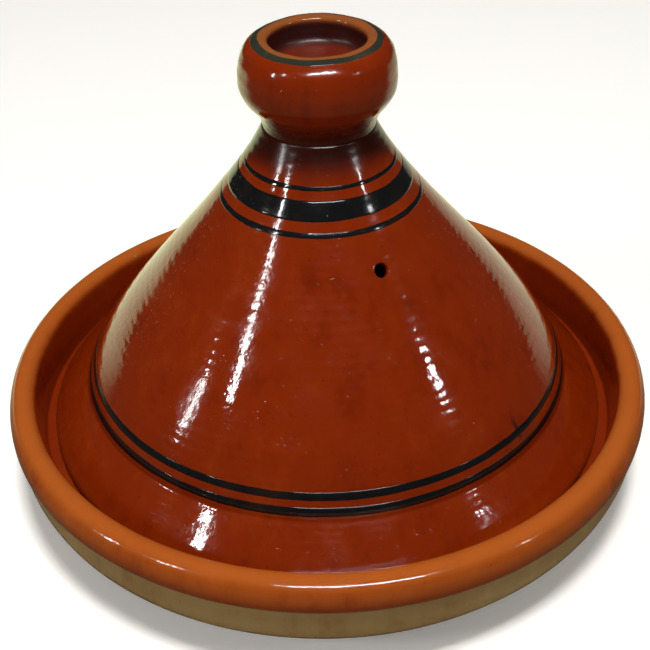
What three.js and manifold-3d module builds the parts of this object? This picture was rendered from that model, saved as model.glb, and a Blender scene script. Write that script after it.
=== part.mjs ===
// A glazed earthenware tagine: a wide shallow dish with a rolled rim, and a hollow conical lid
// that stands on a ledge inside the rim and ends in a cup-shaped knob.
// Millimetres, +Z up, origin on the table under the middle of the foot. The steam vent faces -Y.
import * as THREE from 'three';
import { mergeVertices } from 'three/addons/utils/BufferGeometryUtils.js';
import Module from 'manifold-3d';

const wasm = await Module();
wasm.setup();

// ---- Driving dimensions ----------------------------------------------------------------------

// Dish
const RIM_RADIUS = 150;           // widest circle of the rolled rim
const RIM_WIDTH = 12.7;           // across the roll, from its widest circle to the mouth
const DISH_HEIGHT = 54;           // table to the top of the rim
const ROLL_SHOULDER = 9.6;        // top of the rim down to its widest circle
const ROLL_SKIRT = 5;             // widest circle down to the crease under the roll
const ROLL_OVERHANG = 2.4;        // how far the roll stands out past the wall under it
const FOOT_INSET = 44.5;          // edge of the flat foot, in from the wall
const FLOOR_THICKNESS = 9.5;
const LEDGE_HEIGHT = 31;          // table to the ledge that carries the lid
const LEDGE_WIDTH = 14;           // inner edge of the ledge to the gallery wall
const GALLERY_LEAN = 2.5;         // how far the gallery wall leans out between ledge and mouth
const FLOOR_CORNER = 25;          // inner edge of the ledge in to where the floor begins

// Lid
const LID_CLEARANCE = 4.5;        // edge of the brim to the gallery wall, all round
const SEAT_GAP = 0.3;             // between fired faces that touch
const BRIM_THICKNESS = 7.6;       // at its edge
const BRIM_EDGE_ROUND = 2.6;
const BRIM_WIDTH = 17.6;          // edge of the brim in to the foot of the cone
const CONE_FOOT_RISE = 14.4;      // top of the brim's edge up to the foot of the cone
const CONE_HEIGHT = 122.2;        // foot of the cone up to the neck
const NECK_RADIUS = 24;           // top of the cone, under the knob
const FOOT_SLOPE = 73;            // degrees from level, cone wall at its foot
const FOOT_SWEEP = 29.7;          // how far up the foot's slope carries
const NECK_SLOPE = 65.3;          // degrees from level, cone wall at its neck
const NECK_SWEEP = 39.7;          // how far down the neck's slope carries
const LID_WALL = 7.5;
const CROWN_THICKNESS = 10;       // solid clay over the hollow, under the knob

// Knob
const KNOB_RADIUS = 33;
const KNOB_HEIGHT = 37.1;
const KNOB_WAIST = 20.2;          // foot of the knob up to its widest circle
const CUP_RADIUS = 20;            // mouth of the cup
const CUP_DEPTH = 12.5;
const LIP_WIDTH = 1;              // level top of the lip, out from its inner round
const LIP_ROUND = 2;              // round of the lip into the cup

// Steam vent, a straight hole square to the wall of the cone
const VENT_DIAMETER = 7;
const VENT_RISE = 78.4;           // foot of the cone up to the middle of the hole

// Roundness of the turned shapes
const TURNS = 60;                 // flats round a turned piece
const ARC_STEPS = 5;              // steps along each curved stretch of an outline
const CONE_STEPS = 10;            // steps up the cone
const VENT_SIDES = 20;

// ---- Sizes worked out from them --------------------------------------------------------------

const mouthRadius = RIM_RADIUS - RIM_WIDTH;
const galleryRadius = mouthRadius - GALLERY_LEAN;
const ledgeInner = galleryRadius - LEDGE_WIDTH;
const rollMiddle = DISH_HEIGHT - ROLL_SHOULDER;
const creaseHeight = rollMiddle - ROLL_SKIRT;
const wallRadius = RIM_RADIUS - ROLL_OVERHANG;
const footRadius = wallRadius - FOOT_INSET;

const brimRadius = galleryRadius - LID_CLEARANCE;
const brimUnderside = LEDGE_HEIGHT + SEAT_GAP;
const brimTop = brimUnderside + BRIM_THICKNESS;
const coneFootRadius = brimRadius - BRIM_WIDTH;
const coneFootHeight = brimTop + CONE_FOOT_RISE;
const neckHeight = coneFootHeight + CONE_HEIGHT;
const hollowTop = neckHeight - CROWN_THICKNESS;

const knobFoot = neckHeight + SEAT_GAP;
const knobTop = knobFoot + KNOB_HEIGHT;

const RED_BROWN_GLAZE = { color: 0x7c2c0e, roughness: 0.22, metalness: 0 };
const ORANGE_GLAZE = { color: 0x9c4a20, roughness: 0.3, metalness: 0 };

// ---- Curves ----------------------------------------------------------------------------------

/** A step of some length at an angle above the level, leaning in towards the axis. */
function leaningStep(degrees, length) {
  const angle = THREE.MathUtils.degToRad(degrees);
  return new THREE.Vector2(-Math.cos(angle), Math.sin(angle)).multiplyScalar(length);
}

/** Outside of the cone, foot to neck: steep at both ends and straighter between. */
function coneCurve() {
  const foot = new THREE.Vector2(coneFootRadius, coneFootHeight);
  const neck = new THREE.Vector2(NECK_RADIUS, neckHeight);
  return new THREE.CubicBezierCurve(
    foot,
    foot.clone().add(leaningStep(FOOT_SLOPE, FOOT_SWEEP)),
    neck.clone().sub(leaningStep(NECK_SLOPE, NECK_SWEEP)),
    neck,
  );
}

/** The unit normal that points in through the wall, at u from 0 (foot) to 1 (neck). */
function inwardNormal(curve, u) {
  const along = curve.getTangent(u);
  return new THREE.Vector2(-along.y, along.x);
}

/** Where along a rising curve a height is reached. */
function findHeight(curve, height) {
  let low = 0;
  let high = 1;
  for (let i = 0; i < 30; i += 1) {
    const middle = (low + high) / 2;
    if (curve.getPoint(middle).y < height) low = middle;
    else high = middle;
  }
  return low;
}

/** Inside face of the cone, one wall in from the outside, up to where the crown closes it. */
function hollowFace(curve) {
  const points = Array.from({ length: CONE_STEPS + 1 }, (_, i) => {
    const u = i / CONE_STEPS;
    return curve.getPoint(u).add(inwardNormal(curve, u).multiplyScalar(LID_WALL));
  });
  return points.filter((point) => point.y < hollowTop - LID_WALL / 2);
}

// ---- Outlines, r across and z up, each starting and ending on the axis -----------------------

function dishOutline() {
  const rollTop = RIM_RADIUS - RIM_WIDTH * 0.52;
  const floorEdge = ledgeInner - FLOOR_CORNER;
  const path = new THREE.Path();
  path.moveTo(0, 0);
  path.lineTo(footRadius, 0);
  // side wall, swelling out from the foot to stand upright under the roll
  path.bezierCurveTo(footRadius + FOOT_INSET * 0.5, creaseHeight * 0.04,
    wallRadius, creaseHeight * 0.36, wallRadius, creaseHeight * 0.8);
  path.lineTo(wallRadius, creaseHeight);
  // roll of the rim: skirt, widest circle, top, and down into the mouth
  path.bezierCurveTo(RIM_RADIUS - ROLL_OVERHANG * 0.25, creaseHeight + ROLL_SKIRT * 0.08,
    RIM_RADIUS, creaseHeight + ROLL_SKIRT * 0.5, RIM_RADIUS, rollMiddle);
  path.bezierCurveTo(RIM_RADIUS, rollMiddle + ROLL_SHOULDER * 0.6,
    rollTop + RIM_WIDTH * 0.3, DISH_HEIGHT, rollTop, DISH_HEIGHT);
  path.bezierCurveTo(mouthRadius + RIM_WIDTH * 0.2, DISH_HEIGHT,
    mouthRadius, DISH_HEIGHT - ROLL_SHOULDER * 0.2, mouthRadius, DISH_HEIGHT - ROLL_SHOULDER * 0.6);
  // gallery wall, ledge, inside wall and floor
  path.lineTo(galleryRadius, LEDGE_HEIGHT);
  path.lineTo(ledgeInner, LEDGE_HEIGHT);
  path.bezierCurveTo(ledgeInner - 1, LEDGE_HEIGHT * 0.6,
    floorEdge + FLOOR_CORNER * 0.6, FLOOR_THICKNESS, floorEdge, FLOOR_THICKNESS);
  path.lineTo(0, FLOOR_THICKNESS);
  return path.getPoints(ARC_STEPS);
}

function lidOutline() {
  const cone = coneCurve();
  const face = hollowFace(cone);
  const hollowFoot = face[0];
  const hollowShoulder = face.at(-1);
  const footLead = leaningStep(FOOT_SLOPE, CONE_FOOT_RISE * 0.12);

  const brim = new THREE.Path();
  // out of the cone's foot, down the slope of the brim, round its edge and under it
  brim.moveTo(coneFootRadius, coneFootHeight);
  brim.bezierCurveTo(coneFootRadius - footLead.x, coneFootHeight - footLead.y,
    coneFootRadius + BRIM_WIDTH * 0.12, brimTop + CONE_FOOT_RISE * 0.84,
    coneFootRadius + BRIM_WIDTH * 0.22, brimTop + CONE_FOOT_RISE * 0.72);
  brim.lineTo(brimRadius - BRIM_EDGE_ROUND, brimTop);
  brim.quadraticCurveTo(brimRadius - BRIM_EDGE_ROUND * 0.1, brimTop - BRIM_EDGE_ROUND * 0.75,
    brimRadius, brimTop - BRIM_EDGE_ROUND * 1.4);
  brim.lineTo(brimRadius, brimUnderside + BRIM_EDGE_ROUND);
  brim.quadraticCurveTo(brimRadius, brimUnderside, brimRadius - BRIM_EDGE_ROUND, brimUnderside);
  brim.lineTo(brimRadius - BRIM_WIDTH * 0.55, brimUnderside);
  brim.bezierCurveTo(brimRadius - BRIM_WIDTH * 0.75, brimUnderside + CONE_FOOT_RISE * 0.4,
    hollowFoot.x + BRIM_WIDTH * 0.11, hollowFoot.y - CONE_FOOT_RISE * 0.45, hollowFoot.x, hollowFoot.y);

  const crown = new THREE.Path();
  crown.moveTo(hollowShoulder.x, hollowShoulder.y);
  crown.quadraticCurveTo(hollowShoulder.x - LID_WALL * 0.4, hollowTop, hollowShoulder.x * 0.6, hollowTop);
  crown.lineTo(0, hollowTop);

  return [
    new THREE.Vector2(0, neckHeight),
    ...cone.getPoints(CONE_STEPS).reverse(),
    ...brim.getPoints(ARC_STEPS).slice(1, -1),
    ...face,
    ...crown.getPoints(ARC_STEPS).slice(1),
  ].reverse();
}

function knobOutline() {
  const waistHeight = knobFoot + KNOB_WAIST;
  const lipInner = CUP_RADIUS + LIP_ROUND;
  const lipOuter = lipInner + LIP_WIDTH;
  const cupFloor = knobTop - CUP_DEPTH;
  const path = new THREE.Path();
  path.moveTo(0, knobFoot);
  path.lineTo(NECK_RADIUS, knobFoot);
  // hollow under the belly, the belly itself, then the full shoulder up to the lip
  path.bezierCurveTo(NECK_RADIUS + (KNOB_RADIUS - NECK_RADIUS) * 0.1, knobFoot + KNOB_WAIST * 0.46,
    KNOB_RADIUS, waistHeight - KNOB_WAIST * 0.51, KNOB_RADIUS, waistHeight);
  path.bezierCurveTo(KNOB_RADIUS, waistHeight + (knobTop - waistHeight) * 0.62,
    lipOuter + (KNOB_RADIUS - lipOuter) * 0.66, knobTop, lipOuter, knobTop);
  path.lineTo(lipInner, knobTop);
  path.quadraticCurveTo(CUP_RADIUS, knobTop, CUP_RADIUS, knobTop - LIP_ROUND);
  // inside of the cup
  path.lineTo(CUP_RADIUS, cupFloor + CUP_DEPTH * 0.45);
  path.quadraticCurveTo(CUP_RADIUS, cupFloor, CUP_RADIUS * 0.5, cupFloor);
  path.lineTo(0, cupFloor);
  return path.getPoints(ARC_STEPS);
}

// ---- Solids ----------------------------------------------------------------------------------

/** An outline turned round the vertical axis. */
function turned(outline) {
  return new THREE.LatheGeometry(outline, TURNS).rotateX(Math.PI / 2);
}

function toSolid(geometry) {
  const bare = geometry.clone();
  bare.deleteAttribute('normal');
  bare.deleteAttribute('uv');
  const merged = mergeVertices(bare);
  return new wasm.Manifold(new wasm.Mesh({
    numProp: 3,
    vertProperties: Float32Array.from(merged.attributes.position.array),
    triVerts: Uint32Array.from(merged.index.array),
  }));
}

function toGeometry(solid) {
  const { vertProperties, triVerts } = solid.getMesh();
  const geometry = new THREE.BufferGeometry();
  geometry.setAttribute('position', new THREE.BufferAttribute(vertProperties, 3));
  geometry.setIndex(new THREE.BufferAttribute(triVerts, 1));
  geometry.computeVertexNormals();
  return geometry;
}

/** The drill that opens the steam vent, lying square to the wall on the -Y side. */
function ventDrill() {
  const cone = coneCurve();
  const u = findHeight(cone, coneFootHeight + VENT_RISE);
  const outside = cone.getPoint(u);
  const inward = inwardNormal(cone, u);
  const length = LID_WALL * 4;
  const drill = new THREE.CylinderGeometry(VENT_DIAMETER / 2, VENT_DIAMETER / 2, length, VENT_SIDES);
  const direction = new THREE.Vector3(0, -inward.x, inward.y);
  drill.applyQuaternion(new THREE.Quaternion().setFromUnitVectors(new THREE.Vector3(0, 1, 0), direction));
  drill.translate(0, -outside.x, outside.y);
  return drill;
}

function piece(name, geometry, finish) {
  const mesh = new THREE.Mesh(geometry, new THREE.MeshStandardMaterial(finish));
  mesh.name = name;
  return mesh;
}

const lidShell = toSolid(turned(lidOutline())).subtract(toSolid(ventDrill()));

const tagine = new THREE.Group();
tagine.add(
  piece('dish_bowl', turned(dishOutline()), ORANGE_GLAZE),
  piece('lid_cone', toGeometry(lidShell), RED_BROWN_GLAZE),
  piece('lid_knob', turned(knobOutline()), RED_BROWN_GLAZE),
);

export default tagine;
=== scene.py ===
"""Looks of a glazed earthenware tagine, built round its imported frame.

The dish, the lid and the knob are turned afresh at a fine pitch on the frame's own outlines, with
the marks that throwing, drying and glazing leave. The painted slip rings are raised pieces of
their own. Lengths are metres, +Z is up, and the steam vent faces -Y.
"""
import logging
import math
from dataclasses import dataclass
from enum import Enum
from typing import Callable, ClassVar, Optional

import bmesh
import bpy
from mathutils import Matrix, Vector, noise
from mathutils.geometry import interpolate_bezier


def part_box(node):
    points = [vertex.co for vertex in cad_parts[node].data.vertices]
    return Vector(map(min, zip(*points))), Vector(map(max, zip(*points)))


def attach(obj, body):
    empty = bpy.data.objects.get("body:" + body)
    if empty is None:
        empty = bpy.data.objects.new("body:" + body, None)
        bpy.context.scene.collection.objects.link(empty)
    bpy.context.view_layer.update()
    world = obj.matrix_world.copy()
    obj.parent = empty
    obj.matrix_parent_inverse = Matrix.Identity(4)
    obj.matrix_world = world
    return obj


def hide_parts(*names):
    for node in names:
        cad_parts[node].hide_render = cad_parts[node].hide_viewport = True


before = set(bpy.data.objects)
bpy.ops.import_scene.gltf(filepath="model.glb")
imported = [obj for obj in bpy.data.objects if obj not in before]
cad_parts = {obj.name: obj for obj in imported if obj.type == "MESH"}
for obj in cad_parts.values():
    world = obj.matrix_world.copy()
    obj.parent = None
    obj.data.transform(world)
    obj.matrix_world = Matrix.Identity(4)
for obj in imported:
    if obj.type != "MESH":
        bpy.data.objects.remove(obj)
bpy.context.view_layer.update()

log = logging.getLogger("tagine")

MM = 0.001
FULL_TURN = 2 * math.pi

Socket = bpy.types.NodeSocket
Colour = tuple[float, float, float]
Painted = tuple[Socket, Optional[Socket]]


class Body(Enum):
    """The frame's moving bodies."""

    DISH = "dish"
    LID = "lid"


class Slot(Enum):
    """The record's material slots."""

    ORANGE_GLAZE = "orange_glaze"
    BROWN_GLAZE = "brown_glaze"
    BLACK_SLIP = "black_slip"


# ---- Shader wiring -----------------------------------------------------------------------------


def srgb(red: int, green: int, blue: int) -> Colour:
    """Turns an everyday 0 to 255 colour into the linear one that shaders work in."""
    return tuple(
        c / 12.92 if c <= 0.04045 else ((c + 0.055) / 1.055) ** 2.4
        for c in (red / 255, green / 255, blue / 255)
    )


class Wiring:
    """Adds and joins nodes in one shader tree."""

    def __init__(self, tree: bpy.types.NodeTree) -> None:
        """Starts on a tree.

        Args:
            tree: The node tree of a material or of a group.
        """
        self.tree = tree

    def put(self, socket: Socket, value: object) -> None:
        """Feeds a socket.

        Args:
            socket: The input to feed.
            value: Another node's output, or a plain value of the socket's own kind.
        """
        if isinstance(value, bpy.types.NodeSocket):
            self.tree.links.new(value, socket)
        elif socket.type == "RGBA" and len(value) == 3:
            socket.default_value = (*value, 1.0)
        else:
            socket.default_value = value

    def node(self, kind: str, inputs: Optional[dict[str | int, object]] = None,
             **settings: object) -> bpy.types.Node:
        """Adds a node.

        Args:
            kind: The node's type name.
            inputs: What feeds its inputs, by their names or numbers.
            **settings: The node's own properties.

        Returns:
            The new node.
        """
        made = self.tree.nodes.new(kind)
        for key, value in settings.items():
            setattr(made, key, value)
        for key, value in (inputs or {}).items():
            self.put(made.inputs[key], value)
        return made

    def math(self, operation: str, *values: object, clamp: bool = False) -> Socket:
        """Does arithmetic on values.

        Args:
            operation: The Math node's operation.
            *values: Its operands, as sockets or numbers.
            clamp: Whether to keep the result from 0 to 1.

        Returns:
            The result.
        """
        made = self.node("ShaderNodeMath", operation=operation, use_clamp=clamp)
        for socket, value in zip(made.inputs, values):
            self.put(socket, value)
        return made.outputs["Value"]

    def times(self, first: object, second: object) -> Socket:
        """Multiplies two values."""
        return self.math("MULTIPLY", first, second)

    def plus(self, first: object, second: object) -> Socket:
        """Adds two values."""
        return self.math("ADD", first, second)

    def minus(self, first: object, second: object) -> Socket:
        """Takes the second value from the first."""
        return self.math("SUBTRACT", first, second)

    def dot(self, vector: Socket, way: tuple[float, float, float]) -> Socket:
        """Measures a vector along a direction."""
        made = self.node("ShaderNodeVectorMath", {0: vector, 1: way}, operation="DOT_PRODUCT")
        return made.outputs["Value"]

    def ease(self, value: Socket, low: object, high: object, start: float = 0.0,
             end: float = 1.0) -> Socket:
        """Eases smoothly from one number to another as a value passes through a range.

        Args:
            value: What is tested.
            low: Where the change begins.
            high: Where it is done.
            start: The result below the range.
            end: The result above it.

        Returns:
            The eased number.
        """
        made = self.node(
            "ShaderNodeMapRange",
            {"Value": value, "From Min": low, "From Max": high, "To Min": start, "To Max": end},
            interpolation_type="SMOOTHSTEP",
        )
        return made.outputs["Result"]

    def blend(self, amount: object, first: object, second: object, mode: str = "MIX") -> Socket:
        """Mixes two colours.

        Args:
            amount: How much of the second shows.
            first: The colour at 0.
            second: The colour at 1.
            mode: The Mix node's blend type.

        Returns:
            The mixed colour.
        """
        made = self.node("ShaderNodeMix", data_type="RGBA", blend_type=mode, clamp_factor=True)
        colours = [s for s in made.inputs if s.type == "RGBA"]
        self.put(made.inputs[0], amount)
        self.put(colours[0], first)
        self.put(colours[1], second)
        return next(s for s in made.outputs if s.type == "RGBA")

    def cloud(self, place: Socket, size: float, detail: float = 2.0, rough: float = 0.5) -> Socket:
        """Adds noise of a given grain.

        Args:
            place: The coordinates that it follows.
            size: The width of one blotch in metres.
            detail: How many finer octaves lie on it.
            rough: How strong those are.

        Returns:
            The noise, from 0 to 1.
        """
        made = self.node(
            "ShaderNodeTexNoise",
            {"Vector": place, "Scale": 1 / size, "Detail": detail, "Roughness": rough},
        )
        return made.outputs["Fac"]

    def stretched(self, place: Socket, across: float, up: float) -> Socket:
        """Scales coordinates so that a pattern is longer one way.

        Args:
            place: The coordinates.
            across: The scale along X and Y.
            up: The scale along Z.

        Returns:
            The scaled coordinates.
        """
        made = self.node("ShaderNodeMapping", {"Vector": place, "Scale": (across, across, up)})
        return made.outputs["Vector"]


class Effect:
    """A shader group that several finishes share, built the first time one asks for it."""

    name = "effect"
    takes: dict[str, tuple[str, object]] = {}
    gives: dict[str, str] = {}

    def wire(self, wiring: Wiring, given: bpy.types.Node, result: bpy.types.Node) -> None:
        """Fills the group between its input and output nodes."""
        raise NotImplementedError

    def tree(self) -> bpy.types.NodeTree:
        """Finds the group, or makes it.

        Returns:
            The group's node tree.
        """
        found = bpy.data.node_groups.get(self.name)
        if found:
            return found
        made = bpy.data.node_groups.new(self.name, "ShaderNodeTree")
        for title, (kind, default) in self.takes.items():
            socket = made.interface.new_socket(title, in_out="INPUT", socket_type=kind)
            if default is not None:
                socket.default_value = default
        for title, kind in self.gives.items():
            made.interface.new_socket(title, in_out="OUTPUT", socket_type=kind)
        wiring = Wiring(made)
        self.wire(wiring, wiring.node("NodeGroupInput"), wiring.node("NodeGroupOutput"))
        return made

    def place(self, wiring: Wiring, **inputs: object) -> bpy.types.Node:
        """Places the group in a tree.

        Args:
            wiring: The tree's wiring.
            **inputs: Values by input name, with spaces written as underscores.

        Returns:
            The group's node.
        """
        made = wiring.node("ShaderNodeGroup", node_tree=self.tree())
        for title, value in inputs.items():
            wiring.put(made.inputs[title.replace("_", " ").capitalize()], value)
        return made


class TurnedPlace(Effect):
    """Where a point of a turned piece lies: how far out, how high, and how far round."""

    name = "turned_place"
    gives = {
        "Out": "NodeSocketFloat",
        "Up": "NodeSocketFloat",
        "Round": "NodeSocketFloat",
        "Point": "NodeSocketVector",
    }

    def wire(self, wiring: Wiring, given: bpy.types.Node, result: bpy.types.Node) -> None:
        """Works out the three from the piece's own coordinates."""
        point = wiring.node("ShaderNodeTexCoord").outputs["Object"]
        part = wiring.node("ShaderNodeSeparateXYZ", {"Vector": point})
        x, y = part.outputs["X"], part.outputs["Y"]
        squares = wiring.plus(wiring.times(x, x), wiring.times(y, y))
        out = wiring.math("SQRT", squares)
        wiring.put(result.inputs["Out"], out)
        wiring.put(result.inputs["Up"], part.outputs["Z"])
        wiring.put(result.inputs["Round"], wiring.math("ARCTAN2", y, x))
        wiring.put(result.inputs["Point"], point)


class GlazeMottle(Effect):
    """Clouds, runs and iron specks that vary the colour of a fired glaze."""

    name = "glaze_mottle"
    takes = {
        "Point": ("NodeSocketVector", None),
        "Body": ("NodeSocketColor", (0.5, 0.5, 0.5, 1.0)),
        "Thin": ("NodeSocketColor", (0.6, 0.6, 0.6, 1.0)),
        "Pooled": ("NodeSocketColor", (0.3, 0.3, 0.3, 1.0)),
        "Strength": ("NodeSocketFloat", 0.5),
        "Specks": ("NodeSocketFloat", 0.5),
    }
    gives = {"Colour": "NodeSocketColor"}

    def wire(self, wiring: Wiring, given: bpy.types.Node, result: bpy.types.Node) -> None:
        """Lays broad clouds, upright runs and specks over the body colour."""
        point = given.outputs["Point"]
        broad = wiring.cloud(point, 46 * MM, 3.0, 0.55)
        fine = wiring.cloud(wiring.stretched(point, 1.0, 0.55), 7 * MM, 4.0, 0.6)
        runs = wiring.cloud(wiring.stretched(point, 1.0, 0.12), 10 * MM, 3.0, 0.55)
        lesser = wiring.plus(wiring.times(fine, 0.28), wiring.times(runs, 0.3))
        sway = wiring.plus(wiring.times(broad, 0.42), lesser)
        light = wiring.times(wiring.ease(sway, 0.5, 0.68), given.outputs["Strength"])
        deep = wiring.times(wiring.ease(sway, 0.5, 0.34), given.outputs["Strength"])
        colour = wiring.blend(light, given.outputs["Body"], given.outputs["Thin"])
        colour = wiring.blend(deep, colour, given.outputs["Pooled"])
        grains = wiring.ease(wiring.cloud(point, 1.7 * MM, 1.0, 0.5), 0.7, 0.78)
        speck = wiring.times(grains, given.outputs["Specks"])
        wiring.put(result.inputs["Colour"], wiring.blend(speck, colour, given.outputs["Pooled"]))


class GlazeSkin(Effect):
    """The surface of a runny glaze: orange-peel ripple, the clay's drag under it, and pinholes.

    The heights are in metres from the lowest to the highest point of each relief.
    """

    name = "glaze_skin"
    takes = {
        "Point": ("NodeSocketVector", None),
        "Peel": ("NodeSocketFloat", 1.0),
        "Drag": ("NodeSocketFloat", 1.0),
        "Pits": ("NodeSocketFloat", 1.0),
    }
    gives = {"Height": "NodeSocketFloat", "Gloss": "NodeSocketFloat"}
    peel_height = 0.085 * MM
    drag_height = 0.025 * MM
    pit_depth = 0.06 * MM

    def wire(self, wiring: Wiring, given: bpy.types.Node, result: bpy.types.Node) -> None:
        """Adds the three reliefs in metres, and a slow change of gloss."""
        point = given.outputs["Point"]
        peel = wiring.times(wiring.cloud(point, 3.8 * MM, 2.0, 0.5), self.peel_height)
        lines = wiring.cloud(wiring.stretched(point, 0.16, 1.0), 1.9 * MM, 3.0, 0.6)
        drag = wiring.times(lines, self.drag_height)
        holes = wiring.ease(wiring.cloud(point, 1.1 * MM, 0.0, 0.5), 0.78, 0.84)
        pit = wiring.times(holes, -self.pit_depth)
        total = wiring.times(peel, given.outputs["Peel"])
        total = wiring.plus(total, wiring.times(drag, given.outputs["Drag"]))
        total = wiring.plus(total, wiring.times(pit, given.outputs["Pits"]))
        wiring.put(result.inputs["Height"], total)
        wiring.put(result.inputs["Gloss"], wiring.cloud(point, 22 * MM, 3.0, 0.6))


class WavyEdge(Effect):
    """A hand-made edge between two finishes: a mask that passes from 0 to 1 with some wander."""

    name = "wavy_edge"
    takes = {
        "Value": ("NodeSocketFloat", 0.0),
        "Edge": ("NodeSocketFloat", 0.0),
        "Softness": ("NodeSocketFloat", 0.5 * MM),
        "Wander": ("NodeSocketFloat", 0.5 * MM),
        "Point": ("NodeSocketVector", None),
    }
    gives = {"Mask": "NodeSocketFloat"}

    def wire(self, wiring: Wiring, given: bpy.types.Node, result: bpy.types.Node) -> None:
        """Moves the edge by noise, then eases through it."""
        waves = wiring.cloud(wiring.stretched(given.outputs["Point"], 1.0, 0.2), 13 * MM, 3.0, 0.55)
        offset = wiring.times(wiring.minus(waves, 0.5), wiring.times(given.outputs["Wander"], 4.0))
        moved = wiring.minus(wiring.plus(given.outputs["Value"], offset), given.outputs["Edge"])
        half = given.outputs["Softness"]
        wiring.put(result.inputs["Mask"], wiring.ease(moved, wiring.times(half, -1.0), half))


# ---- Finishes ----------------------------------------------------------------------------------

Paint = Callable[[Wiring, bpy.types.Node], Painted]


@dataclass(frozen=True)
class GlazeShade:
    """The three colours of one coat: as laid, thin over an edge, and pooled thick."""

    body: Colour
    thin: Colour
    pooled: Colour


# Colours of the glazes and slips, of the bare clay, and of painted shade, painted shadow and a painted
# floor reflection
RED_BROWN = GlazeShade(srgb(128, 38, 4), srgb(144, 52, 10), srgb(100, 24, 2))
ORANGE = GlazeShade(srgb(162, 76, 22), srgb(180, 93, 35), srgb(120, 38, 3))
# painted reflection: the pale floor as the glaze of the dish's outer wall mirrors it
FLOOR_REFLECTION_KHAKI = GlazeShade(srgb(166, 136, 88), srgb(188, 162, 116), srgb(136, 100, 56))
BLUE_BLACK = GlazeShade(srgb(17, 18, 20), srgb(40, 28, 22), srgb(8, 12, 13))
GREY_GREEN = GlazeShade(srgb(44, 48, 40), srgb(70, 64, 48), srgb(24, 30, 26))
LIP_TAN: Colour = srgb(146, 88, 44)
# pooled glaze and painted shade inside the knob's cup
CUP_POOL_AND_SHADE: Colour = srgb(38, 9, 12)
# painted shadow: the dark under the knob's belly, on the neck and on the knob's foot
PAINTED_NECK_SHADOW: Colour = srgb(40, 9, 7)
RAW_CLAY = GlazeShade(srgb(176, 122, 84), srgb(196, 146, 108), srgb(140, 92, 62))


@dataclass(frozen=True)
class Finish:
    """A glazed surface: its name and how its skin lies."""

    # how much rougher bare clay is than the glaze beside it
    bare_roughness: ClassVar[float] = 0.7

    name: str
    peel: float = 1.0
    drag: float = 1.0
    pits: float = 1.0
    gloss_low: float = 0.07
    gloss_high: float = 0.16
    refraction: float = 1.52

    def dress(self, paint: Paint) -> bpy.types.Material:
        """Builds the material.

        Args:
            paint: Gives the colour and, where some of the piece is dull, a mask of how bare it is.

        Returns:
            The material.
        """
        material = bpy.data.materials.new(self.name)
        material.use_nodes = True
        material.node_tree.nodes.clear()
        wiring = Wiring(material.node_tree)
        place = TurnedPlace().place(wiring)
        colour, bare = paint(wiring, place)
        skin = GlazeSkin().place(wiring, point=place.outputs["Point"], peel=self.peel, drag=self.drag,
                                 pits=self.pits)
        roughness = wiring.ease(skin.outputs["Gloss"], 0.35, 0.65, self.gloss_low, self.gloss_high)
        if bare is not None:
            dull = wiring.times(bare, self.bare_roughness)
            roughness = wiring.math("ADD", roughness, dull, clamp=True)
        bump = wiring.node("ShaderNodeBump",
                           {"Height": skin.outputs["Height"], "Strength": 1.0, "Distance": 1.0})
        shader = wiring.node(
            "ShaderNodeBsdfPrincipled",
            {"Base Color": colour, "Roughness": roughness, "IOR": self.refraction,
             "Normal": bump.outputs["Normal"]},
        )
        output = wiring.node("ShaderNodeOutputMaterial")
        wiring.put(output.inputs["Surface"], shader.outputs["BSDF"])
        return material


def mottled(wiring: Wiring, place: bpy.types.Node, shade: GlazeShade, strength: float,
            specks: float) -> Socket:
    """Mottles a glaze.

    Args:
        wiring: The material's wiring.
        place: Its turned_place node.
        shade: The glaze's colours.
        strength: How far the clouds go.
        specks: How dark the specks are.

    Returns:
        The colour.
    """
    made = GlazeMottle().place(
        wiring, point=place.outputs["Point"], body=shade.body, thin=shade.thin, pooled=shade.pooled,
        strength=strength, specks=specks,
    )
    return made.outputs["Colour"]


# ---- Turning -----------------------------------------------------------------------------------


class Outline:
    """A profile laid down at an even pitch, as radius and height."""

    def __init__(self, start: tuple[float, float], pitch: float) -> None:
        """Starts a profile.

        Args:
            start: Its first radius and height.
            pitch: The distance from point to point.
        """
        self.points = [Vector((start[0], 0.0, start[1]))]
        self.pitch = pitch

    def _add(self, leave: Vector, arrive: Vector, end: Vector) -> None:
        """Adds one cubic stretch, with its handles, at the outline's pitch."""
        start = self.points[-1]
        rough = interpolate_bezier(start, leave, arrive, end, 24)
        length = sum((b - a).length for a, b in zip(rough, rough[1:]))
        count = max(2, math.ceil(length / self.pitch) + 1)
        self.points += interpolate_bezier(start, leave, arrive, end, count)[1:]

    def line(self, radius: float, height: float) -> "Outline":
        """Draws a straight stretch.

        Args:
            radius: The radius at its end.
            height: The height at its end.

        Returns:
            The outline.
        """
        start, end = self.points[-1], Vector((radius, 0.0, height))
        self._add(start.lerp(end, 1 / 3), start.lerp(end, 2 / 3), end)
        return self

    def curve(self, *corners: tuple[float, float]) -> "Outline":
        """Draws a cubic stretch.

        Args:
            *corners: The two handles and the end, each a radius and a height.

        Returns:
            The outline.
        """
        self._add(*(Vector((r, 0.0, z)) for r, z in corners))
        return self


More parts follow.
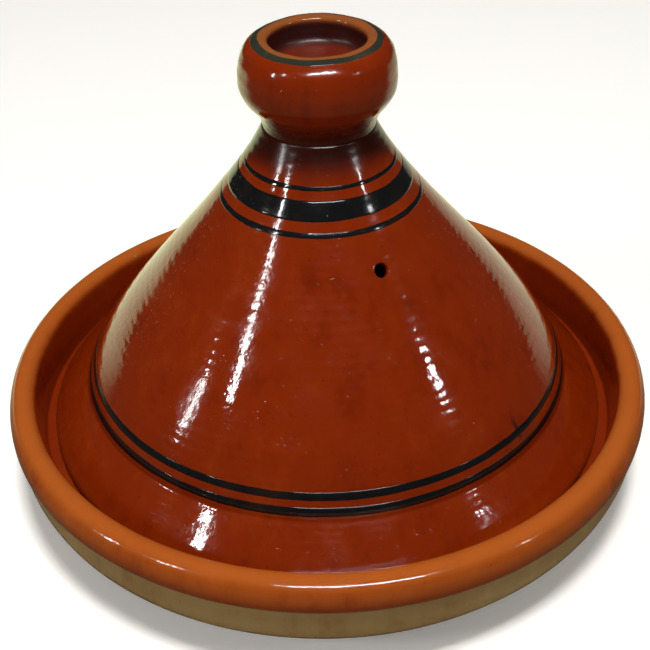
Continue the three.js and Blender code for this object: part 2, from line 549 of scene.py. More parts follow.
@dataclass(frozen=True)
class Hand:
    """How evenly the potter's hands worked: turning rings, dents and a little sway."""

    ring_pitch: float = 4.6 * MM
    ring_depth: float = 0.06 * MM
    dent_size: float = 26 * MM
    dent_depth: float = 0.22 * MM
    sway: float = 0.35 * MM
    seed: float = 0.0

    def lift(self, angle: float, arc: float) -> float:
        """How far the surface stands off the true outline.

        Args:
            angle: How far round, in radians.
            arc: How far along the outline, in metres.

        Returns:
            The distance outwards, in metres.
        """
        around = Vector((math.cos(angle), math.sin(angle), 0.0))
        along = Vector((self.seed, 0.0, arc / self.dent_size))
        swell = noise.noise(around * 2.2 + along)
        pace = noise.noise(Vector((self.seed, 7.0, arc / (3.1 * self.ring_pitch))))
        ring = math.sin(FULL_TURN * (arc / self.ring_pitch + 0.9 * pace) + angle)
        fade = 0.65 + 0.7 * noise.noise(around * 1.3 + along * 0.7 + Vector((3.0, 5.0, 0.0)))
        oval = noise.noise(around * 0.8 + Vector((self.seed, 11.0, arc / (6 * self.dent_size))))
        return self.ring_depth * ring * fade + self.dent_depth * swell + self.sway * oval


def turn(outline: Outline, steps: int) -> bmesh.types.BMesh:
    """Turns an outline round the upright axis.

    Args:
        outline: The profile, starting and ending on the axis.
        steps: How many flats there are round it.

    Returns:
        The closed shell, with each vertex's way along the outline in the layer "arc".
    """
    shell = bmesh.new()
    arc_layer = shell.verts.layers.float.new("arc")
    arc = 0.0
    verts = []
    for i, point in enumerate(outline.points):
        arc += (point - outline.points[i - 1]).length if i else 0.0
        vert = shell.verts.new(point)
        vert[arc_layer] = arc
        verts.append(vert)
    edges = [shell.edges.new(pair) for pair in zip(verts, verts[1:])]
    bmesh.ops.spin(shell, geom=verts + edges, cent=(0, 0, 0), axis=(0, 0, 1), angle=FULL_TURN,
                   steps=steps, use_merge=True)
    bmesh.ops.remove_doubles(shell, verts=shell.verts, dist=0.001 * MM)
    bmesh.ops.recalc_face_normals(shell, faces=shell.faces)
    shell.normal_update()
    return shell


def work(shell: bmesh.types.BMesh, lift: Callable[[float, float, Vector], float]) -> None:
    """Moves each vertex along its own normal.

    Args:
        shell: The turned shell.
        lift: Gives the distance from the angle, the way along the outline and the place.
    """
    arc_layer = shell.verts.layers.float["arc"]
    moves = [
        vert.normal * lift(math.atan2(vert.co.y, vert.co.x), vert[arc_layer], vert.co.copy())
        for vert in shell.verts
    ]
    for vert, move in zip(shell.verts, moves):
        vert.co += move


def settle(shell: bmesh.types.BMesh, name: str, material: bpy.types.Material, body: Body,
           stands_for: Optional[str] = None) -> bpy.types.Object:
    """Turns a finished shell into a piece of the object.

    Args:
        shell: The bmesh, which is used up.
        name: The piece's name.
        material: Its finish.
        body: The body that it rides on.
        stands_for: The frame's node that it replaces, if it does.

    Returns:
        The piece.
    """
    mesh = bpy.data.meshes.new(name)
    for face in shell.faces:
        face.smooth = True
    shell.to_mesh(mesh)
    shell.free()
    mesh.materials.append(material)
    piece = bpy.data.objects.new(name, mesh)
    bpy.context.scene.collection.objects.link(piece)
    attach(piece, body.value)
    if stands_for:
        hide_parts(stands_for)
    log.info("%s: %d faces on body %s", name, len(mesh.polygons), body.value)
    return piece


def smooth_between(value: float, low: float, high: float) -> float:
    """Eases from 0 at low to 1 at high."""
    t = min(1.0, max(0.0, (value - low) / (high - low)))
    return t * t * (3 - 2 * t)


class Face:
    """The worked surface of a turned piece, addressed by angle and by the way along its outline."""

    def __init__(self, outline: Outline, hand: Hand) -> None:
        """Measures an outline.

        Args:
            outline: The piece's profile.
            hand: How the piece was worked.
        """
        self.points = outline.points
        self.hand = hand
        self.arcs = [0.0]
        for first, second in zip(self.points, self.points[1:]):
            self.arcs.append(self.arcs[-1] + (second - first).length)

    def _locate(self, arc: float) -> tuple[int, float]:
        """Finds the stretch that an arc length falls in, and the share of it."""
        low, high = 0, len(self.arcs) - 2
        while low < high:
            middle = (low + high + 1) // 2
            if self.arcs[middle] <= arc:
                low = middle
            else:
                high = middle - 1
        return low, (arc - self.arcs[low]) / max(self.arcs[low + 1] - self.arcs[low], 1e-9)

    def arc_at_height(self, height: float, after: float) -> float:
        """Finds where the outline comes down to a height.

        Args:
            height: The height.
            after: The arc length to start from.

        Returns:
            The arc length there.
        """
        for i, (first, second) in enumerate(zip(self.points, self.points[1:])):
            crosses = (first.z - height) * (second.z - height) <= 0 and first.z != second.z
            if self.arcs[i] >= after and crosses:
                share = (first.z - height) / (first.z - second.z)
                return self.arcs[i] + share * (second - first).length
        raise ValueError(f"the outline never comes to {height}")

    def at(self, angle: float, arc: float, lift: float = 0.0) -> Vector:
        """Gives a point on or over the worked surface.

        Args:
            angle: How far round, in radians.
            arc: How far along the outline.
            lift: How far over the surface.

        Returns:
            The point.
        """
        i, share = self._locate(arc)
        here = self.points[i].lerp(self.points[i + 1], share)
        before, after = self.points[max(i - 1, 0)], self.points[min(i + 2, len(self.points) - 1)]
        along = (after - before).normalized()
        out = Vector((-along.z, 0.0, along.x))
        if out.x < 0 and out.z < 0:
            out.negate()
        point = here + out * (self.hand.lift(angle, arc) + lift)
        return Matrix.Rotation(angle, 3, "Z") @ point


# ---- The pot -----------------------------------------------------------------------------------


@dataclass
class Dish:
    """The dish: foot, side wall, rolled rim, gallery wall, ledge and floor.

    Sizes are those that the frame was drawn with; the rim and the height are read from the frame.
    """

    rim_radius: float
    height: float
    rim_width: float = 12.7 * MM
    roll_shoulder: float = 9.6 * MM
    roll_skirt: float = 5 * MM
    roll_overhang: float = 2.4 * MM
    foot_inset: float = 44.5 * MM
    floor_thickness: float = 9.5 * MM
    ledge_height: float = 31 * MM
    ledge_width: float = 14 * MM
    gallery_lean: float = 2.5 * MM
    floor_corner: float = 25 * MM
    pitch: float = 1.1 * MM
    steps: int = 288
    foot_turn: float = 1 * MM
    glaze_line: float = 2.2 * MM
    hand: Hand = Hand(ring_pitch=5.5 * MM, ring_depth=0.025 * MM, seed=21.0)

    @classmethod
    def from_frame(cls) -> "Dish":
        """Takes the overall size from the frame's dish."""
        _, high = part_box("dish_bowl")
        return cls(rim_radius=high.x, height=high.z)

    @property
    def mouth(self) -> float:
        """Radius of the mouth, inside the roll."""
        return self.rim_radius - self.rim_width

    @property
    def crease(self) -> float:
        """Height of the crease under the roll."""
        return self.height - self.roll_shoulder - self.roll_skirt

    def outline(self) -> Outline:
        """Draws the profile from the middle of the foot round to the middle of the floor.

        Returns:
            The outline.
        """
        wall = self.rim_radius - self.roll_overhang
        foot = wall - self.foot_inset
        middle = self.height - self.roll_shoulder
        gallery = self.mouth - self.gallery_lean
        ledge_inner = gallery - self.ledge_width
        floor_edge = ledge_inner - self.floor_corner
        roll_top = self.rim_radius - self.rim_width * 0.52
        line = Outline((0.0, 0.0), self.pitch).line(foot - self.foot_turn, 0.0)
        line.curve((foot + self.foot_inset * 0.5, self.crease * 0.04), (wall, self.crease * 0.36),
                   (wall, self.crease * 0.8))
        line.line(wall, self.crease)
        line.curve((self.rim_radius - self.roll_overhang * 0.25, self.crease + self.roll_skirt * 0.08),
                   (self.rim_radius, self.crease + self.roll_skirt * 0.5), (self.rim_radius, middle))
        line.curve((self.rim_radius, middle + self.roll_shoulder * 0.6),
                   (roll_top + self.rim_width * 0.3, self.height), (roll_top, self.height))
        line.curve((self.mouth + self.rim_width * 0.2, self.height),
                   (self.mouth, self.height - self.roll_shoulder * 0.2),
                   (self.mouth, self.height - self.roll_shoulder * 0.6))
        line.line(gallery, self.ledge_height).line(ledge_inner, self.ledge_height)
        line.curve((ledge_inner - 1 * MM, self.ledge_height * 0.6),
                   (floor_edge + self.floor_corner * 0.6, self.floor_thickness),
                   (floor_edge, self.floor_thickness))
        return line.line(0.0, self.floor_thickness)

    def _lift(self, angle: float, arc: float, place: Vector) -> float:
        """Keeps the foot and the lid's seat true, and leaves the rest to the hand."""
        radius = math.hypot(place.x, place.y)
        free_of_foot = smooth_between(place.z, 0.5 * MM, 8 * MM)
        off_ledge = smooth_between(abs(place.z - self.ledge_height), 0.5 * MM, 4 * MM)
        on_ledge = radius < self.mouth
        return self.hand.lift(angle, arc) * free_of_foot * (off_ledge if on_ledge else 1.0)

    def _paint(self, wiring: Wiring, place: bpy.types.Node) -> Painted:
        """Brown inside, orange on the roll with painted shade towards the crease under it, a painted
        reflection of the pale floor on the wall under that, and bare clay on the foot.
        """
        out, up, point = place.outputs["Out"], place.outputs["Up"], place.outputs["Point"]
        brown = mottled(wiring, place, RED_BROWN, 0.55, 0.5)
        # painted reflection: the outer wall is coloured like the pale floor that its glaze mirrors
        floor_reflection = mottled(wiring, place, FLOOR_REFLECTION_KHAKI, 0.7, 0.4)
        # a leaning surface that runs inside the clay, between the inner and the outer face
        leaning = wiring.math("MULTIPLY_ADD", up, 1.1, self.mouth - 29 * MM)
        within = wiring.math("MINIMUM", leaning, self.mouth + 4 * MM)
        outside = wiring.ease(wiring.minus(out, within), -1 * MM, 1 * MM)
        brown = wiring.blend(outside, brown, floor_reflection)
        orange = mottled(wiring, place, ORANGE, 0.6, 0.35)
        # the roll turns lighter towards its top, to the orange's thin colour
        lighter_top = wiring.ease(up, self.height - 4 * MM, self.height, 0.0, 0.75)
        orange = wiring.blend(lighter_top, orange, ORANGE.thin)
        # painted shade: the roll's face darkens to the pooled orange towards the crease under it
        shade = wiring.ease(up, self.crease + 9 * MM, self.crease + 1 * MM, 0.0, 0.8)
        orange = wiring.blend(shade, orange, ORANGE.pooled)
        beyond_mouth = WavyEdge().place(wiring, value=out, edge=self.mouth + 0.6 * MM,
                                        softness=0.8 * MM, wander=0.35 * MM, point=point)
        over_crease = WavyEdge().place(wiring, value=up, edge=self.crease + 1.2 * MM,
                                       softness=0.6 * MM, wander=0.5 * MM, point=point)
        on_roll = wiring.times(beyond_mouth.outputs["Mask"], over_crease.outputs["Mask"])
        colour = wiring.blend(on_roll, brown, orange)
        bare = WavyEdge().place(wiring, value=wiring.times(up, -1.0), edge=-self.glaze_line,
                                softness=0.5 * MM, wander=0.7 * MM, point=point)
        clay = mottled(wiring, place, RAW_CLAY, 0.7, 0.6)
        return wiring.blend(bare.outputs["Mask"], colour, clay), bare.outputs["Mask"]

    def build(self) -> bpy.types.Object:
        """Turns, works and glazes the dish.

        Returns:
            The piece.
        """
        shell = turn(self.outline(), self.steps)
        work(shell, self._lift)
        material = Finish("dish_glaze", gloss_low=0.07, gloss_high=0.15).dress(self._paint)
        return settle(shell, "dish", material, Body.DISH, stands_for="dish_bowl")


@dataclass
class Lid:
    """The lid: a hollow cone with a brim at its foot, closed at the neck, and a steam vent."""

    brim_radius: float
    underside: float
    neck_height: float
    brim_thickness: float = 7.6 * MM
    brim_round: float = 2.6 * MM
    brim_width: float = 17.6 * MM
    foot_rise: float = 14.4 * MM
    neck_radius: float = 24 * MM
    foot_slope: float = math.radians(73)
    foot_sweep: float = 29.7 * MM
    neck_slope: float = math.radians(65.3)
    neck_sweep: float = 39.7 * MM
    wall: float = 7.5 * MM
    crown: float = 10 * MM
    vent_radius: float = 3.5 * MM
    vent_rise: float = 78.4 * MM
    pitch: float = 0.85 * MM
    steps: int = 288
    smudge_bearing: float = math.radians(-67.6)
    smudge_half_width: float = 2.1 * MM
    smudge_strength: float = 0.75
    hand: Hand = Hand(ring_pitch=4.4 * MM, ring_depth=0.022 * MM, dent_depth=0.16 * MM, seed=4.0)

    @classmethod
    def from_frame(cls) -> "Lid":
        """Takes the overall size from the frame's cone."""
        low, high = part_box("lid_cone")
        return cls(brim_radius=high.x, underside=low.z, neck_height=high.z)

    @property
    def brim_top(self) -> float:
        """Height of the brim's top at its edge."""
        return self.underside + self.brim_thickness

    @property
    def foot_radius(self) -> float:
        """Radius of the cone where it turns out into the brim."""
        return self.brim_radius - self.brim_width

    @property
    def foot_height(self) -> float:
        """Height of that turn."""
        return self.brim_top + self.foot_rise

    @staticmethod
    def _leaning(slope: float, length: float) -> Vector:
        """A step of some length up a slope, leaning in towards the axis."""
        return Vector((-math.cos(slope), 0.0, math.sin(slope))) * length

    def _cone(self) -> tuple[Vector, Vector, Vector, Vector]:
        """The cone's outside as a cubic from neck to foot."""
        foot = Vector((self.foot_radius, 0.0, self.foot_height))
        neck = Vector((self.neck_radius, 0.0, self.neck_height))
        return (neck, neck - self._leaning(self.neck_slope, self.neck_sweep),
                foot + self._leaning(self.foot_slope, self.foot_sweep), foot)

    def _hollow(self) -> list[Vector]:
        """The cone's inside, foot to crown, one wall in from the outside."""
        outside = interpolate_bezier(*self._cone(), 90)
        inside = []
        for i in range(1, len(outside) - 1):
            along = (outside[i + 1] - outside[i - 1]).normalized()
            inside.append(outside[i] + Vector((along.z, 0.0, -along.x)) * self.wall)
        top = self.neck_height - self.crown - self.wall / 2
        return [point for point in reversed(inside) if point.z < top]

    def outline(self) -> Outline:
        """Draws the profile from the middle of the neck's top round to the middle of the hollow's.

        Returns:
            The outline.
        """
        line = Outline((0.0, self.neck_height), self.pitch).line(self.neck_radius, self.neck_height)
        neck, neck_handle, foot_handle, foot = self._cone()
        line.curve(*((p.x, p.z) for p in (neck_handle, foot_handle, foot)))
        edge, rounding = self.brim_radius, self.brim_round
        line.line(edge - rounding, self.brim_top)
        line.curve((edge - rounding * 0.4, self.brim_top - rounding * 0.5),
                   (edge, self.brim_top - rounding * 0.95), (edge, self.brim_top - rounding * 1.4))
        line.line(edge, self.underside + rounding)
        line.curve((edge, self.underside + rounding * 0.45), (edge - rounding * 0.45, self.underside),
                   (edge - rounding, self.underside))
        line.line(edge - self.brim_width * 0.55, self.underside)
        hollow = self._hollow()
        line.pitch = self.pitch * 2
        line.curve((edge - self.brim_width * 0.75, self.underside + self.foot_rise * 0.4),
                   (hollow[0].x + self.brim_width * 0.11, hollow[0].z - self.foot_rise * 0.45),
                   (hollow[0].x, hollow[0].z))
        line.points += hollow[1:]
        top = self.neck_height - self.crown
        end = hollow[-1]
        line.curve((end.x - self.wall * 0.3, top - 1 * MM), (end.x * 0.75, top), (end.x * 0.6, top))
        return line.line(0.0, top)

    def face(self) -> Face:
        """The worked outside, for what is painted on it."""
        return Face(self.outline(), self.hand)

    def vent_axis(self) -> tuple[Vector, Vector]:
        """Finds the steam vent.

        Returns:
            The middle of its mouth and the direction out of it.
        """
        face = self.face()
        arc = face.arc_at_height(self.foot_height + self.vent_rise, self.neck_radius)
        front = -math.pi / 2
        middle = face.at(front, arc)
        return middle, (face.at(front, arc, 1.0) - middle).normalized()

    def _lift(self, angle: float, arc: float, place: Vector) -> float:
        """Keeps the brim's seat true."""
        off_seat = smooth_between(place.z, self.underside + 0.5 * MM, self.underside + 3 * MM)
        return self.hand.lift(angle, arc) * off_seat

    def _open_vent(self, shell: bmesh.types.BMesh) -> None:
        """Drills the vent and rounds the glaze into its mouth."""
        mouth, outwards = self.vent_axis()

        def across(point: Vector) -> Vector:
            offset = point - mouth
            return offset - outwards * offset.dot(outwards)

        near = {v for v in shell.verts if across(v.co).length < self.vent_radius
                and abs((v.co - mouth).dot(outwards)) < self.wall * 2}
        doomed = [f for f in shell.faces if all(v in near for v in f.verts)]
        bmesh.ops.delete(shell, geom=doomed, context="FACES")
        rim = [e for e in shell.edges if e.is_boundary]
        for vert in {v for e in rim for v in e.verts}:
            offset = across(vert.co)
            vert.co += offset.normalized() * self.vent_radius - offset
        outer = [e for e in rim if all((v.co - mouth).dot(outwards) > -self.wall / 2 for v in e.verts)]
        inner = [e for e in rim if e not in outer]
        for narrower, deeper in ((0.3 * MM, 0.25 * MM), (0.2 * MM, 0.6 * MM), (0.05 * MM, 1.5 * MM)):
            made = bmesh.ops.extrude_edge_only(shell, edges=outer)["geom"]
            outer = [e for e in made if isinstance(e, bmesh.types.BMEdge)
                     and all(v in made for v in e.verts)]
            for vert in {v for e in outer for v in e.verts}:
                vert.co -= across(vert.co).normalized() * narrower + outwards * deeper
        bmesh.ops.bridge_loops(shell, edges=outer + inner)
        bmesh.ops.recalc_face_normals(shell, faces=shell.faces)

    def _paint(self, wiring: Wiring, place: bpy.types.Node) -> Painted:
        """Red-brown all over, thinner on the brim's edge, with the knob's shadow painted dark on the neck
        under it.
        """
        out = place.outputs["Out"]
        colour = mottled(wiring, place, RED_BROWN, 0.6, 0.6)
        edge = wiring.ease(out, self.brim_radius - 1.6 * MM, self.brim_radius, 0.0, 0.55)
        colour = wiring.blend(edge, colour, RED_BROWN.thin)
        # painted shadow: the neck's top darkens under the knob, where its shadow falls
        top = wiring.ease(place.outputs["Up"], self.neck_height - 16 * MM, self.neck_height - 5 * MM)
        colour = wiring.blend(wiring.times(top, 0.75), colour, PAINTED_NECK_SHADOW)
        colour = wiring.blend(self._smudge(wiring, place), colour, BLUE_BLACK.body)
        return colour, wiring.times(top, 0.12)

    def _smudge(self, wiring: Wiring, place: bpy.types.Node) -> Socket:
        """Masks the smear that the brush left where it was lifted off the upper foot ring."""
        out, up, around, point = (place.outputs[key] for key in ("Out", "Up", "Round", "Point"))
        across = wiring.times(wiring.minus(around, self.smudge_bearing), out)
        wobble = wiring.times(wiring.minus(wiring.cloud(point, 5 * MM), 0.5), 3 * MM)
        beside = wiring.math("ABSOLUTE", wiring.plus(across, wobble))
        start = self.foot_height + 8 * MM
        height = wiring.ease(up, start + 12 * MM, start + 3 * MM)
        width = wiring.ease(beside, self.smudge_half_width, 0.3 * MM)
        above = wiring.ease(up, self.foot_height + 6 * MM, self.foot_height + 8 * MM)
        return wiring.times(wiring.times(height, width), wiring.times(above, self.smudge_strength))

    def build(self) -> bpy.types.Object:
        """Turns, works, drills and glazes the lid.

        Returns:
            The piece.
        """
        shell = turn(self.outline(), self.steps)
        work(shell, self._lift)
        self._open_vent(shell)
        material = Finish("lid_glaze", gloss_low=0.05, gloss_high=0.12).dress(self._paint)
        return settle(shell, "lid", material, Body.LID, stands_for="lid_cone")


@dataclass
class Knob:
    """The cup-shaped knob: belly, shoulder, lip and cup."""

    radius: float
    foot: float
    top: float
    neck_radius: float = 24 * MM
    waist: float = 20.2 * MM
    cup_radius: float = 20 * MM
    cup_depth: float = 12.5 * MM
    lip_width: float = 1 * MM
    lip_round: float = 2 * MM
    bedding: float = 1.2 * MM
    pitch: float = 0.7 * MM
    steps: int = 192
    hand: Hand = Hand(ring_pitch=5.2 * MM, ring_depth=0.07 * MM, dent_size=14 * MM, dent_depth=0.3 * MM,
                      sway=0.25 * MM, seed=33.0)

    @classmethod
    def from_frame(cls) -> "Knob":
        """Takes the overall size from the frame's knob."""
        low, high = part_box("lid_knob")
        return cls(radius=high.x, foot=low.z, top=high.z)

    def outline(self) -> Outline:
        """Draws the profile from the middle of the foot, bedded in the neck, to the middle of the cup.

        Returns:
            The outline.
        """
        waist = self.foot + self.waist
        lip_inner = self.cup_radius + self.lip_round
        lip_outer = lip_inner + self.lip_width
        floor = self.top - self.cup_depth
        line = Outline((0.0, self.foot - self.bedding), self.pitch)
        line.line(self.neck_radius - 0.5 * MM, self.foot - self.bedding)
        line.line(self.neck_radius, self.foot)
        overhang = self.radius - self.neck_radius
        line.curve((self.neck_radius + overhang * 0.1, self.foot + self.waist * 0.46),
                   (self.radius, waist - self.waist * 0.51), (self.radius, waist))
        line.curve((self.radius, waist + (self.top - waist) * 0.62),
                   (lip_outer + (self.radius - lip_outer) * 0.66, self.top), (lip_outer, self.top))
        line.line(lip_inner, self.top)
        line.curve((lip_inner - self.lip_round * 0.6, self.top),
                   (self.cup_radius, self.top - self.lip_round * 0.4),
                   (self.cup_radius, self.top - self.lip_round))
        line.line(self.cup_radius, floor + self.cup_depth * 0.45)
        line.curve((self.cup_radius, floor + self.cup_depth * 0.15), (self.cup_radius * 0.85, floor),
                   (self.cup_radius * 0.5, floor))
        return line.line(0.0, floor)

    def face(self) -> Face:
        """The worked outside, for what is painted on it."""
        return Face(self.outline(), self.hand)

    def _paint(self, wiring: Wiring, place: bpy.types.Node) -> Painted:
        """Red-brown, tan on the lip, pooled glaze and painted shade dark in the cup, and painted shadow
        down at the joint.
        """
        out, up, point = (place.outputs[key] for key in ("Out", "Up", "Point"))
        colour = mottled(wiring, place, RED_BROWN, 0.6, 0.5)
        lip = wiring.times(wiring.ease(up, self.top - 4 * MM, self.top - 0.5 * MM),
                           wiring.ease(out, self.cup_radius + 7 * MM, self.cup_radius + 4 * MM))
        colour = wiring.blend(wiring.times(lip, 0.75), colour, LIP_TAN)
        # pooled glaze and painted shade: the cup's walls, and less of its floor, darken to near black
        inside = wiring.ease(out, self.cup_radius + 1.5 * MM, self.cup_radius + 0.5 * MM)
        below = WavyEdge().place(wiring, value=wiring.times(up, -1.0), edge=2.2 * MM - self.top,
                                 softness=1.2 * MM, wander=0.5 * MM, point=point)
        floor = self.top - self.cup_depth
        above = wiring.ease(up, floor + 0.5 * MM, floor + 3 * MM, 0.45)
        cup = wiring.times(inside, below.outputs["Mask"])
        pool = wiring.times(cup, wiring.times(above, 0.9))
        colour = wiring.blend(pool, colour, CUP_POOL_AND_SHADE)
        # painted shadow: the knob's foot darkens under its belly, as the neck below it does
        foot_shadow = wiring.ease(up, self.foot + 13 * MM, self.foot + 3 * MM)
        colour = wiring.blend(wiring.times(foot_shadow, 0.8), colour, PAINTED_NECK_SHADOW)
        rough = wiring.plus(wiring.times(cup, 0.35), wiring.times(foot_shadow, 0.15))
        return colour, rough

    def build(self) -> bpy.types.Object:
        """Turns, works and glazes the knob.

        Returns:
            The piece.
        """
        shell = turn(self.outline(), self.steps)
        work(shell, lambda angle, arc, place: self.hand.lift(angle, arc))
        material = Finish("knob_glaze", gloss_low=0.08, gloss_high=0.15).dress(self._paint)
        return settle(shell, "knob", material, Body.LID, stands_for="lid_knob")


@dataclass
class PaintedRing:
    """A ring of slip brushed on while the piece turned, a little raised and not quite even."""

    name: str
    width: float
    wander: float = 0.35 * MM
    uneven: float = 0.16
    heavier_at: float = math.radians(-150)
    heavier_by: float = 0.12
    raised: float = 0.07 * MM
    sunk: float = 0.5 * MM
    across: int = 8
    steps: int = 288
    seed: float = 0.0

    def _shift(self, angle: float) -> tuple[float, float]:
        """How far the brush strayed at an angle, and how wide it ran."""
        around = Vector((math.cos(angle), math.sin(angle), self.seed))
        stray = self.wander * noise.noise(around * 1.6)
        ragged = 0.16 * MM * noise.noise(Vector((around.x * 14, around.y * 14, self.seed + 5)))
        swell = 1 + self.uneven * noise.noise(around * 2.7 + Vector((9.0, 0.0, 0.0)))
        swell += self.heavier_by * math.cos(angle - self.heavier_at)
        return stray + ragged, self.width / 2 * swell

    def build(self, face: Face, arc: float, material: bpy.types.Material) -> bpy.types.Object:
        """Lays the ring on a face.

        Args:
            face: The worked surface.
            arc: The way along its outline to the ring's middle.
            material: The slip.

        Returns:
            The piece.
        """
        shell = bmesh.new()
        side = shell.verts.layers.float.new("side")
        rise = shell.verts.layers.float.new("rise")
        loop = []
        for i in range(self.across + 1):
            t = 2 * i / self.across - 1
            loop.append((t, self.raised * (1 - t * t) - 0.01 * MM))
        loop += [(t, -self.sunk) for t in (1.0, 0.0, -1.0)]
        verts = []
        for t, height in loop:
            vert = shell.verts.new((1.0 + t, 0.0, height * 100))
            vert[side] = t
            vert[rise] = height
            verts.append(vert)
        edges = [shell.edges.new((verts[i - 1], verts[i])) for i in range(len(verts))]
        bmesh.ops.spin(shell, geom=verts + edges, cent=(-1, 0, 0), axis=(0, 0, 1), angle=FULL_TURN,
                       steps=self.steps, use_merge=True)
        for vert in shell.verts:
            angle = math.atan2(vert.co.y, vert.co.x + 1.0)
            stray, half = self._shift(angle)
            vert.co = face.at(angle, arc + stray + half * vert[side], vert[rise])
        bmesh.ops.remove_doubles(shell, verts=shell.verts, dist=0.0001 * MM)
        bmesh.ops.recalc_face_normals(shell, faces=shell.faces)
        return settle(shell, self.name, material, Body.LID)


@dataclass
class Paintwork:
    """All the rings: three near the neck, two low on the cone and one on the knob's shoulder."""

    lid: Lid
    knob: Knob

    def _slip(self, name: str, shade: GlazeShade) -> bpy.types.Material:
        """Builds the slip: brushed streaks under the same glaze."""
        def paint(wiring: Wiring, place: bpy.types.Node) -> Painted:
            return mottled(wiring, place, shade, 0.7, 0.3), None
        return Finish(name, peel=0.7, drag=0.6, gloss_low=0.06, gloss_high=0.13).dress(paint)

    def build(self) -> list[bpy.types.Object]:
        """Paints every ring.

        Returns:
            The pieces.
        """
        black = self._slip("black_slip", BLUE_BLACK)
        green = self._slip("green_slip", GREY_GREEN)
        cone = self.lid.face()
        rings = (
            (107.5 * MM, PaintedRing("neck_ring_upper", 1.9 * MM, seed=1.0)),
            (100.1 * MM, PaintedRing("neck_ring_wide", 9.2 * MM, uneven=0.05, heavier_by=0.03, seed=2.0)),
            (92.0 * MM, PaintedRing("neck_ring_lower", 2.4 * MM, seed=3.0)),
            (9.7 * MM, PaintedRing("foot_ring_upper", 3.3 * MM, seed=4.0)),
            (3.7 * MM, PaintedRing("foot_ring_lower", 3.3 * MM, heavier_by=0.2, seed=5.0)),
        )
        made = []
        for rise, ring in rings:
            arc = cone.arc_at_height(self.lid.foot_height + rise, self.lid.neck_radius)
            made.append(ring.build(cone, arc, black))
        shoulder = self.knob.face()
        arc = shoulder.arc_at_height(self.knob.top - 0.4 * MM, self.knob.neck_radius + 20 * MM)
        knob_ring = PaintedRing("knob_ring", 3.4 * MM, steps=192, seed=6.0)
        made.append(knob_ring.build(shoulder, arc, green))
        return made


# ---- Studio ------------------------------------------------------------------------------------

# The floor as seen straight on, as it lights the pot, and as the glaze mirrors it
FLOOR_PALE: Colour = (0.96, 0.96, 0.95)
FLOOR_BOUNCE: Colour = (0.58, 0.56, 0.5)
FLOOR_DIM: Colour = (0.12, 0.1, 0.07)
FLOOR_BRIGHT: Colour = (0.94, 0.95, 0.68)
FLOOR_GLOW: Colour = (1.3, 1.7, 0.7)
NO_LIGHT: Colour = (0.0, 0.0, 0.0)

# The room beyond the floor, seen straight on and otherwise
ROOM_PALE: Colour = (0.97, 0.97, 0.96)
ROOM_DIM: Colour = (0.04, 0.036, 0.03)


@dataclass
class Lamp:
    """A soft light aimed at the pot, placed by bearing from the camera's side.

    One that isn't mirrored doesn't show in the glaze, and one that doesn't light shows only there.
    """

    name: str
    bearing: float
    elevation: float
    distance: float
    width: float
    height: float
    power: float
    tint: Colour = (1.0, 1.0, 1.0)
    mirrored: bool = True
    lights: bool = True

    def place(self, target: Vector, front: float) -> None:
        """Hangs the lamp.

        Args:
            target: What it is aimed at.
            front: The camera's own azimuth, which the bearing is counted from.
        """
        turn_by, lift = front + math.radians(self.bearing), math.radians(self.elevation)
        level = math.cos(lift)
        away = Vector((math.sin(turn_by) * level, -math.cos(turn_by) * level, math.sin(lift)))
        data = bpy.data.lights.new(self.name, "AREA")
        data.shape = "RECTANGLE"
        data.size, data.size_y = self.width, self.height
        data.energy = self.power
        data.color = self.tint
        lamp = bpy.data.objects.new(self.name, data)
        lamp.location = target + away * self.distance
        lamp.rotation_mode = "QUATERNION"
        lamp.rotation_quaternion = away.to_track_quat("Z", "Y")
        lamp.visible_camera = False
        lamp.visible_glossy = self.mirrored
        lamp.visible_diffuse = self.lights
        bpy.context.scene.collection.objects.link(lamp)


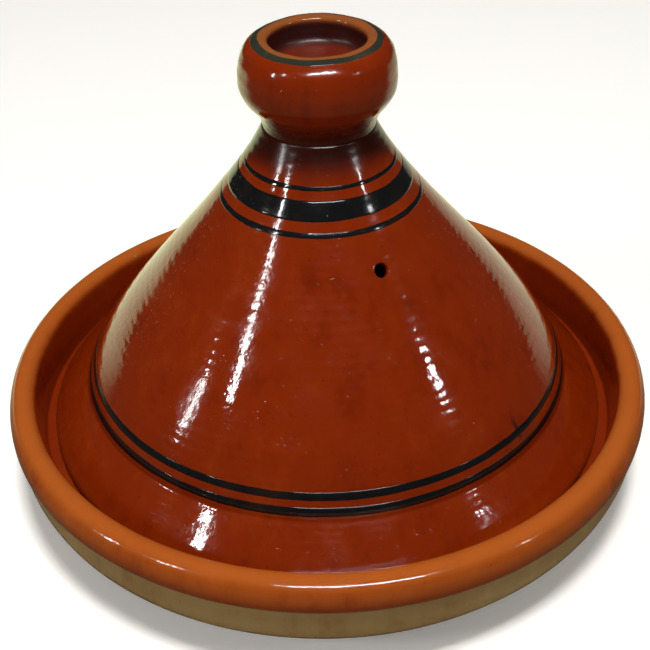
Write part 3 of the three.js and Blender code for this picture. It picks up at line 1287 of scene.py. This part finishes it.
@dataclass
class Studio:
    """The floor, the lights and the camera."""

    rim_middle: float
    azimuth: float = math.radians(-26.0)
    stand_off: float = 456.8 * MM
    eye_over_rim: float = 353.0 * MM
    pitch: float = math.radians(35.63)
    roll: float = math.radians(-1.585)
    yaw: float = math.radians(0.007)
    lens: float = 66.05
    sensor: float = 36.0
    floor_reach: float = 1.7

    def floor(self) -> bpy.types.Object:
        """Lays a wide pale floor.

        Returns:
            The floor.
        """
        material = bpy.data.materials.new("floor_paper")
        material.use_nodes = True
        wiring = Wiring(material.node_tree)
        path = wiring.node("ShaderNodeLightPath")
        straight, mirrored = path.outputs["Is Camera Ray"], path.outputs["Is Glossy Ray"]
        point = wiring.node("ShaderNodeTexCoord").outputs["Object"]
        behind = wiring.dot(point, (-math.sin(self.azimuth), math.cos(self.azimuth), 0.0))
        aside = wiring.dot(point, (math.cos(self.azimuth), math.sin(self.azimuth), 0.0))
        spread = wiring.minus(behind, wiring.times(wiring.math("ABSOLUTE", aside), 0.45))
        bright = wiring.ease(spread, -0.1, 0.1)
        lit = wiring.blend(bright, FLOOR_DIM, FLOOR_BRIGHT)
        base = wiring.blend(straight, wiring.blend(mirrored, FLOOR_BOUNCE, lit), FLOOR_PALE)
        near_left = wiring.times(bright, wiring.ease(aside, 0.25, -0.25))
        glow = wiring.blend(mirrored, NO_LIGHT, wiring.blend(near_left, NO_LIGHT, FLOOR_GLOW))
        shader = material.node_tree.nodes["Principled BSDF"]
        wiring.put(shader.inputs["Base Color"], base)
        wiring.put(shader.inputs["Emission Color"], wiring.blend(straight, glow, FLOOR_PALE))
        shader.inputs["Emission Strength"].default_value = 0.22
        shader.inputs["Roughness"].default_value = 0.9
        shader.inputs["Specular IOR Level"].default_value = 0.0
        grid = bmesh.new()
        bmesh.ops.create_grid(grid, x_segments=2, y_segments=2, size=self.floor_reach)
        mesh = bpy.data.meshes.new("floor")
        grid.to_mesh(mesh)
        grid.free()
        mesh.materials.append(material)
        floor = bpy.data.objects.new("floor", mesh)
        bpy.context.scene.collection.objects.link(floor)
        return floor

    def camera(self) -> bpy.types.Object:
        """Sets the camera.

        Returns:
            The camera.
        """
        data = bpy.data.cameras.new("camera")
        data.lens = self.lens
        data.sensor_width = self.sensor
        data.clip_start = 0.01
        eye = Vector((0.0, -self.stand_off, self.rim_middle + self.eye_over_rim))
        level = math.cos(self.pitch)
        ahead = Vector((math.sin(self.yaw) * level, math.cos(self.yaw) * level, -math.sin(self.pitch)))
        right = Vector((math.cos(self.yaw), -math.sin(self.yaw), 0.0))
        up = right.cross(ahead)
        aimed = Matrix((right, up, -ahead)).transposed()
        swing = Matrix.Rotation(self.azimuth, 3, "Z")
        turned = swing @ aimed @ Matrix.Rotation(self.roll, 3, "Z")
        camera = bpy.data.objects.new("camera", data)
        camera.matrix_world = Matrix.Translation(swing @ eye) @ turned.to_4x4()
        bpy.context.scene.collection.objects.link(camera)
        bpy.context.scene.camera = camera
        return camera

    def lights(self) -> None:
        """Hangs the lamps and sets the room's own light."""
        target = Vector((0.0, 0.0, self.rim_middle + 60 * MM))
        lamps = (
            Lamp("overhead", 0, 84, 1.9, 1.8, 1.8, 5.0, tint=(1.0, 0.97, 0.92), mirrored=False),
            Lamp("key", 8, 76, 2.0, 0.34, 0.34, 34.0, tint=(1.0, 0.97, 0.93), mirrored=False),
            Lamp("front_strip", 9, 56, 3.0, 1.7, 0.12, 75.0, lights=False),
            Lamp("left_upper", -55, 34, 3.0, 0.14, 0.5, 8.5),
            Lamp("left_lower", -72, 21, 3.0, 0.11, 0.55, 7.5),
            Lamp("right_upper", 64, 28.2, 3.0, 0.1, 0.26, 4.2),
        )
        for lamp in lamps:
            lamp.place(target, self.azimuth)
        world = bpy.data.worlds.new("room")
        world.use_nodes = True
        wiring = Wiring(world.node_tree)
        straight = wiring.node("ShaderNodeLightPath").outputs["Is Camera Ray"]
        background = world.node_tree.nodes["Background"]
        wiring.put(background.inputs["Color"], wiring.blend(straight, ROOM_DIM, ROOM_PALE))
        bpy.context.scene.world = world
        bpy.context.scene.view_settings.view_transform = "Standard"

    def build(self) -> None:
        """Sets up the whole studio."""
        self.floor()
        self.camera()
        self.lights()


def main() -> None:
    """Makes the pot and the studio."""
    logging.basicConfig(level=logging.INFO, format="%(message)s")
    dish = Dish.from_frame()
    lid = Lid.from_frame()
    knob = Knob.from_frame()
    dish.build()
    lid.build()
    knob.build()
    Paintwork(lid, knob).build()
    Studio(rim_middle=dish.height - dish.roll_shoulder).build()


if __name__ == "__main__":
    main()
